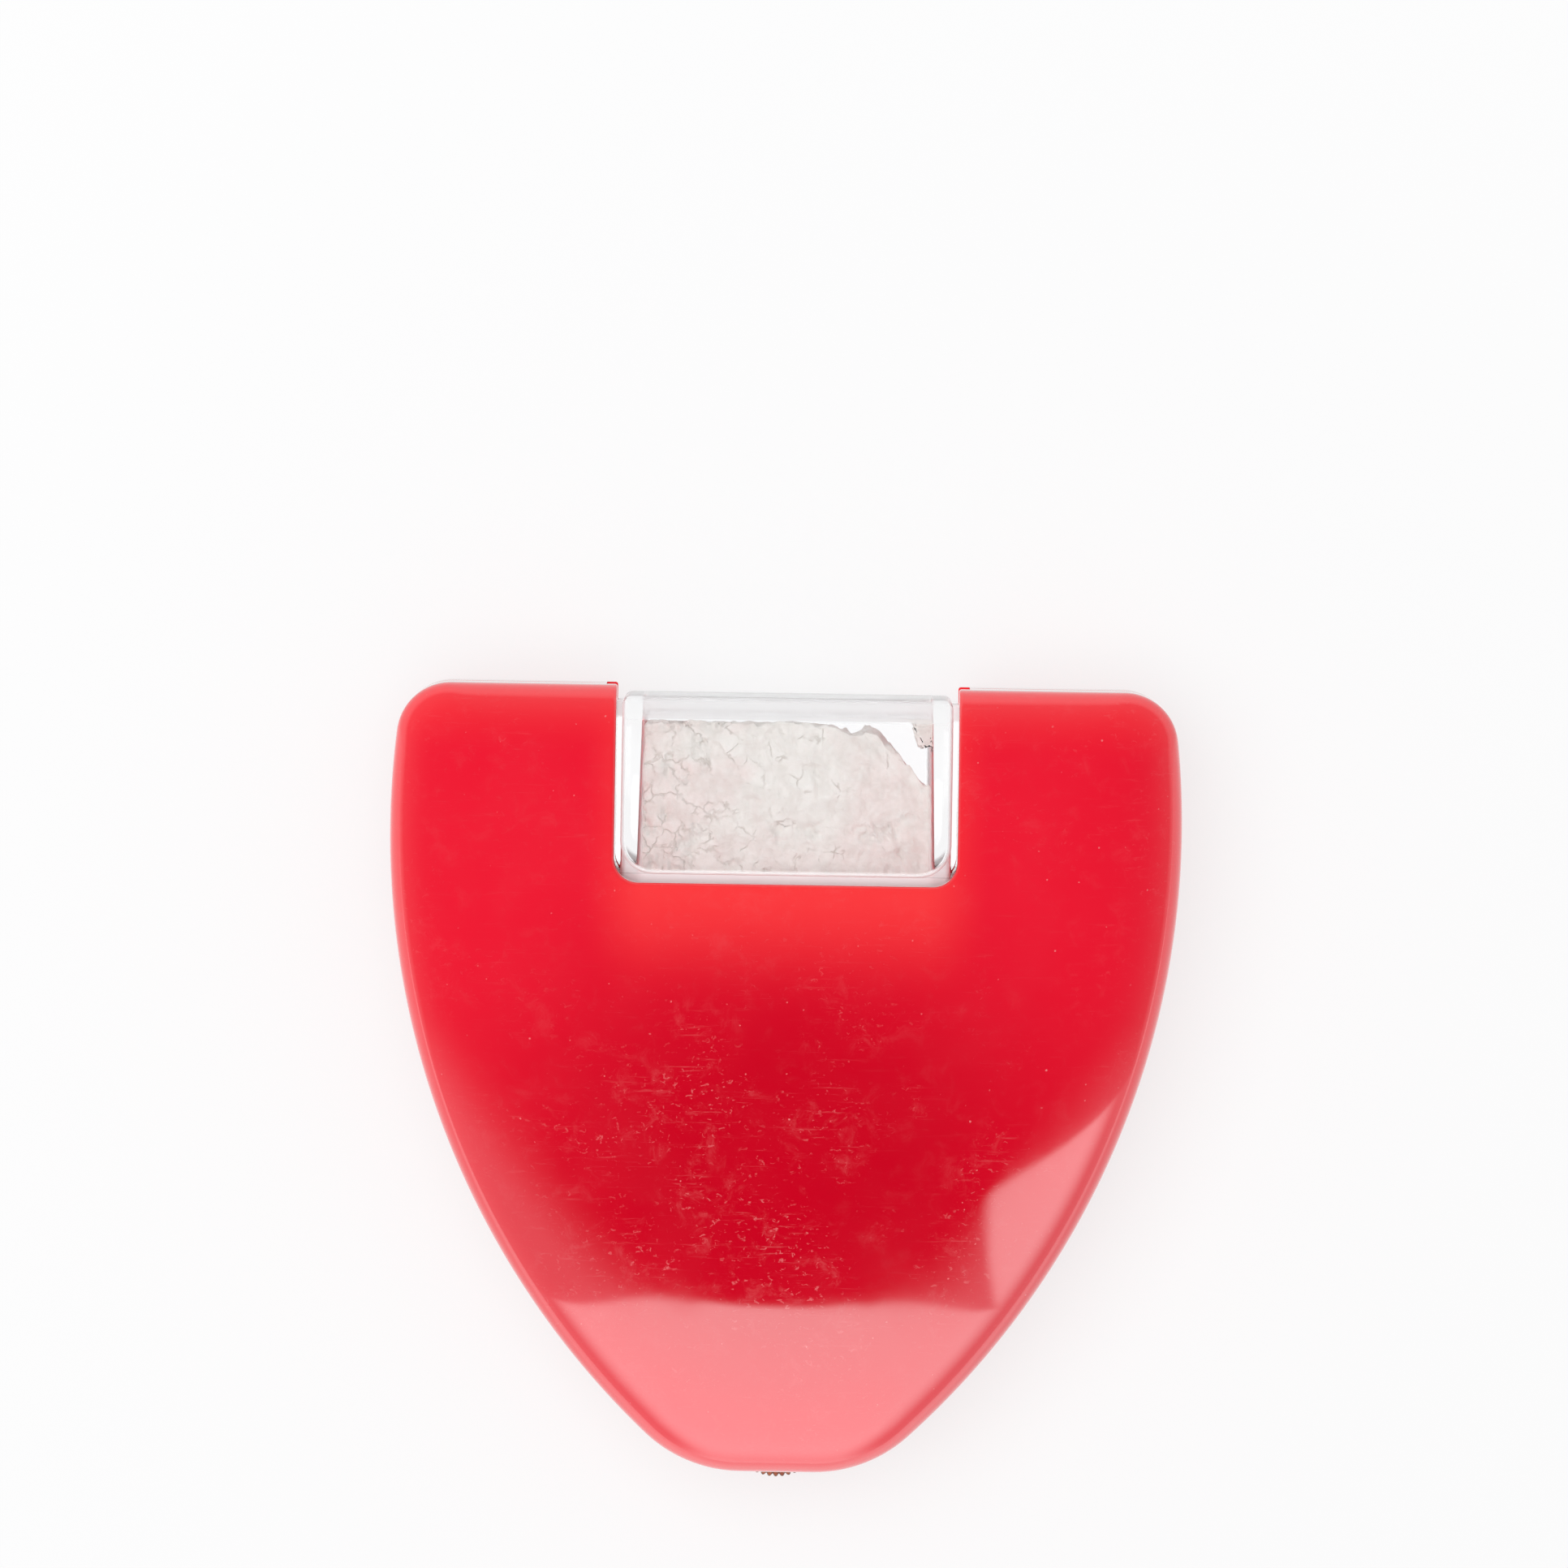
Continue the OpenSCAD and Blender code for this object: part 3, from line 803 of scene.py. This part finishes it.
def clear_plastic():
    """Water-clear moulded plastic. Rays from lamps pass it, so that what is inside is lit, and
    so do rays that have been turned back inside it more than once. The rim of the raised part
    that fills the window, the foot below it and the ceiling are painted whitish, a painted glow
    for light that runs along inside the walls. Bands along the chamber's sides are whitish,
    partly chalk dust and partly painted glow."""
    p = new_paint("clear_plastic")
    x, y, z = p.axes()
    ripple = p.bump(p.noise(0.25, 2.0), 0.01)
    glass = p.node("BsdfPrincipled", values={
        "Base Color": (0.995, 0.995, 1.0), "Roughness": 0.012, "IOR": 1.46,
        "Transmission Weight": 1.0, "Normal": ripple})
    # Whitish surface for the painted glow and the dust
    painted_glow_and_dust_white = p.node("BsdfPrincipled", values={
        "Base Color": (0.93, 0.93, 0.94), "Roughness": 0.35, "Normal": ripple})
    past_x = (abs(x) - (BOX_W / 2 - PAD_LOW_R)) | 0.0
    past_y = (PAD_LOW + PAD_LOW_R - y) | 0.0
    inside = PAD_LOW_R - (past_x * past_x + past_y * past_y) ** 0.5
    rim = p.step(inside, 0.42, 0.22) | p.step(BOX_TOP - y, 0.5, 0.3)
    rim = rim * p.step(abs(z), 4.3, 4.6) * p.step(y, PAD_LOW - 0.1, PAD_LOW)
    foot = p.step(y, PAD_LOW - 1, PAD_LOW - 0.8) * p.step(y, PAD_LOW, PAD_LOW - 0.1)
    ceiling = p.step(y, CHAMBER_TOP - 0.1, CHAMBER_TOP + 0.1)
    dust = p.step(abs(x), CEILING_X - 0.3, CEILING_X - 0.1)
    dust = dust * p.step(abs(x), CEILING_X + 1.3, CEILING_X + 1.2)
    dust = dust * p.step(abs(z), CHAMBER_T / 2 + 0.2, CHAMBER_T / 2 + 0.1)
    # Painted glow at the rim, foot and ceiling; on the chamber's sides partly dust, partly painted
    # glow
    painted_glow_and_dust_share = rim * 0.7 | foot * 0.75 | ceiling * 0.35 | dust * 0.5
    shell = p.node("MixShader", values={0: painted_glow_and_dust_share, 1: glass, 2: painted_glow_and_dust_white})
    open_air = p.node("BsdfTransparent", values={"Color": (0.98, 0.98, 0.985)})
    turned = p.node("LightPath", out="Glossy Depth").math("GREATER_THAN", 1.5)
    passes = p.light_path("Shadow") | p.light_path("Diffuse") | turned
    return p.surface(p.node("MixShader", values={0: passes, 1: shell, 2: open_air}))


def chalk():
    """Caked chalk powder: off-white with a warm, faintly pink cast that drifts from place to
    place, soft lumps, painted shade in patches and in thin cracks, more of them to the left, and a
    matt grain."""
    p = new_paint("chalk_powder")
    x = p.axes()[0]
    pink_white, warm_white = (0.79, 0.695, 0.66), (0.81, 0.78, 0.735)
    crumb_white = (0.90, 0.87, 0.85)
    # Painted shade for patches among the lumps and for the cracks
    shaded, painted_crack_shade = (0.45, 0.39, 0.34), (0.36, 0.28, 0.22)
    cloud = p.noise(0.13, 3.0, 0.6, 0.5)
    blotch = p.noise(0.55, 5.0, 0.65, 0.6)
    grain = p.noise(1.9, 2.0, 0.6, 0.6)
    point = p.object_point()
    wander = p.node("TexNoise", values={
        "Vector": point, "Scale": 0.9 / MM, "Detail": 4.0}, out="Color")
    bent = p.node("VectorMath", {"operation": "MULTIPLY_ADD"}, {
        0: wander, 1: (1.6 * MM,) * 3, 2: point})
    crack = p.node("TexVoronoi", {"feature": "DISTANCE_TO_EDGE"}, {
        "Vector": bent, "Scale": 0.55 / MM})
    crack = p.step(crack, 0.065, 0.0) * p.step(blotch - x * 0.008, 0.48, 0.66)
    colour = p.mix(p.step(cloud, 0.38, 0.62), pink_white, warm_white)
    # Painted shade in patches, then painted shade in the cracks
    colour = p.mix(p.step(blotch, 0.4, 0.6), p.mix(0.2, colour, shaded), colour)
    colour = p.mix(crack * 0.46, colour, painted_crack_shade)
    colour = p.mix(p.step(grain, 0.35, 0.7) * 0.25, colour, crumb_white)
    lumps = p.noise(0.95, 3.0, 0.6, 0.5)
    height = grain * 0.3 + lumps * 0.7 - crack * 0.3
    shader = p.node("BsdfPrincipled", values={
        "Base Color": colour, "Roughness": 0.95, "Specular IOR Level": 0.2,
        "Normal": p.bump(height, 0.22, 0.8)})
    return p.surface(shader)


def brass():
    """Stamped brass, brown and dull, its colours darkened with painted shade, and more painted
    shade below its tips, with turned rings on its faces."""
    p = new_paint("stamped_brass")
    x, y, _ = p.axes()
    # Both browns are darkened with painted shade
    worn_shaded_brown, dull_shaded_brown = (0.24, 0.085, 0.04), (0.15, 0.045, 0.028)
    # Painted shade in the valleys below the tips
    painted_shade_brown = (0.12, 0.034, 0.024)
    rise = y - WHEEL_Y
    away = (x * x + rise * rise) ** 0.5
    rings = (away * 60.0).math("SINE") * 0.5 + 0.5
    dull = p.noise(0.6, 4.0, 0.65)
    below_tips = p.step(away, WHEEL_D / 2 - 0.08, WHEEL_D / 2 - 0.24)
    colour = p.mix(p.step(dull, 0.35, 0.7), worn_shaded_brown, dull_shaded_brown)
    # Painted shade below the tips
    colour = p.mix(below_tips * 0.5, colour, painted_shade_brown)
    shader = p.node("BsdfPrincipled", values={
        "Base Color": colour, "Metallic": 1.0, "Roughness": p.step(dull, 0.3, 0.7, 0.28, 0.45),
        "Normal": p.bump(rings, 0.006)})
    return p.surface(shader)


def steel():
    """Ground steel, with fine lines along the axle."""
    p = new_paint("ground_steel")
    lines = p.noise(3.0, 3.0, 0.6, 0.0, (1.0, 1.0, 0.05))
    shader = p.node("BsdfPrincipled", values={
        "Base Color": p.mix(lines, (0.55, 0.55, 0.57), (0.66, 0.66, 0.68)), "Metallic": 1.0,
        "Roughness": p.step(lines, 0.3, 0.7, 0.22, 0.34), "Normal": p.bump(lines, 0.004)})
    return p.surface(shader)


def holder_plastic():
    """Matt off-white moulded plastic with chalk dust in its fine spark-eroded grain."""
    p = new_paint("holder_plastic")
    grain = p.noise(2.2, 4.0, 0.6)
    dust = p.step(p.noise(0.35, 4.0, 0.7), 0.45, 0.65)
    shader = p.node("BsdfPrincipled", values={
        "Base Color": p.mix(dust, (0.70, 0.69, 0.67), (0.85, 0.83, 0.81)),
        "Roughness": p.step(dust, 0, 1, 0.5, 0.85), "Normal": p.bump(grain, 0.02)})
    return p.surface(shader)


def studio_floor():
    """A white floor. Near the object the camera also sees part of a matt floor's shading, which
    keeps the object's shadow. Glass shows it plain white. Gloss shows it brighter ahead of the
    tip and darker behind the window."""
    reach = 2.5
    corners = [(-reach, -reach, 0), (reach, -reach, 0), (reach, reach, 0), (-reach, reach, 0)]
    mesh = bpy.data.meshes.new("floor")
    mesh.from_pydata(corners, [], [(0, 1, 2, 3)])
    floor = bpy.data.objects.new("floor", mesh)
    bpy.context.scene.collection.objects.link(floor)
    p = new_paint("studio_floor")
    x, y, _ = p.split(p.object_point())
    plain = p.step((x * x + y * y) ** 0.5, 0.05, 0.2, 0.72, 1.0)
    in_gloss = p.step(-y, 0.03, 0.07, 0, 0.6) + p.step(y, 0.03, 0.034, 0, -0.18)
    camera, glossy, through = p.light_paths()
    matt = p.node("BsdfDiffuse", values={"Color": (0.86, 0.86, 0.87)})
    level = 1 + glossy * (1 - through) * in_gloss
    white = p.node("Emission", values={"Color": level, "Strength": 1.0})
    share = camera * plain | glossy | through
    mesh.materials.append(p.surface(p.node("MixShader", values={0: share, 1: matt, 2: white})))


def soft_box(name, centre, width, height, towards, strength):
    """A rectangular lamp that faces a point, with strength as the brightness of its face. The
    world shows the studio to glossy surfaces in its place."""
    data = bpy.data.lights.new(name, "AREA")
    data.shape = "RECTANGLE"
    data.size, data.size_y = width * MM, height * MM
    data.energy = strength * math.pi * data.size * data.size_y
    lamp = bpy.data.objects.new(name, data)
    lamp.location = Vector(centre) * MM
    facing = Vector(towards) * MM - lamp.location
    lamp.rotation_euler = facing.to_track_quat("-Z", "Y").to_euler()
    lamp.visible_camera = False
    lamp.visible_glossy = False
    bpy.context.scene.collection.objects.link(lamp)


def studio_light():
    """One large soft box from the upper left, and the room, which the camera and glass see plain
    white. Gloss sees a dark room that grows light towards its floor and ahead of the tip. In it
    hang a white card ahead of the tip, which narrows to a blunt point overhead, and a second one
    to its right. Both are less bright low down, the more so to the sides."""
    soft_box("key", (-150, 60, 600), 620, 620, (0, 0, 0), 2.0)
    world = bpy.data.worlds.new("studio")
    bpy.context.scene.world = world
    p = Paint(world)
    ray = p.node("TexCoord", out=0)
    x, y, z = p.split(ray)
    blunt = (x * x + z * z * 0.01) ** 0.5
    card = p.step(-y - blunt * 0.8 - z * 0.12, -0.008, 0.008)
    side_card = p.step(-y - x * 0.37 - z * 0.147, -0.008, 0.008)
    side_card = side_card * p.step(y + x * 0.88 + z * 0.03, 0, 0.03)
    aside = p.step(abs(x), 0.15, 0.5)
    high, low = 3.3, aside * -1.25 + 2.2
    strength = low + (high - low) * p.step(z - aside * 0.08, 0.1, 0.5)
    room = p.step(z, 0.95, 0.1, 0.0, 0.28) | p.step(z, 0.3, 0.0, 0.0, 0.75)
    room = room | p.step(-y, 0.19, 0.45, 0.0, 0.8)
    seen_in_gloss = room | (card | side_card) * strength
    camera, glossy, through = p.light_paths()
    level = glossy * (seen_in_gloss - ROOM_LEVEL) + ROOM_LEVEL
    level = level * (1 - (camera | through)) | camera | through
    back = p.node("Background", values={"Color": (1, 1, 1), "Strength": level})
    p.surface(back, "OutputWorld")


def studio_camera():
    """Looks down on the front, leaning towards the window and turned a little, as the object
    stands in the photograph."""
    data = bpy.data.cameras.new("camera")
    data.sensor_width = 36.0
    data.lens = data.sensor_width * CAMERA_AWAY / VIEW_W
    data.clip_start, data.clip_end = 0.05, 10.0
    made = bpy.data.objects.new("camera", data)
    bpy.context.scene.collection.objects.link(made)
    back = Vector((0, math.sin(CAMERA_LEAN), math.cos(CAMERA_LEAN)))
    right = Vector((math.cos(CAMERA_ROLL), math.sin(CAMERA_ROLL), 0))
    right = (right - back * right.dot(back)).normalized()
    up = back.cross(right)
    target = Vector(place([VIEW_X, VIEW_Y, 0]))
    turn = Matrix((right, up, back)).transposed().to_4x4()
    made.matrix_world = Matrix.Translation(target + back * CAMERA_AWAY * MM) @ turn
    bpy.context.scene.camera = made


studio_camera()
studio_floor()
studio_light()

red = red_plastic()
powder = chalk()
dress(cut_case(case_solid("front_case", 1), 1), "case", "shell", red, "front_shell")
dress(cut_case(case_solid("back_case", -1), -1), "case", "shell", red, "back_shell")
dress(cartridge(), "cartridge", "clear_plastic", clear_plastic(), "chalk_cartridge")
dress(chalk_heap(), "cartridge", "chalk", powder, "chalk_charge")
dress(chalk_clump(), "cartridge", "chalk", powder)
dress(toothed_wheel(), "wheel", "wheel_brass", brass(), "marking_wheel")
kept_nodes = {"feed_powder": powder, "wheel_holder": holder_plastic(), "wheel_axle": steel()}
for node, material in kept_nodes.items():
    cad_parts[node].data.materials.clear()
    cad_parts[node].data.materials.append(material)

bpy.context.scene.view_settings.view_transform = "Standard"
bpy.context.view_layer.update()
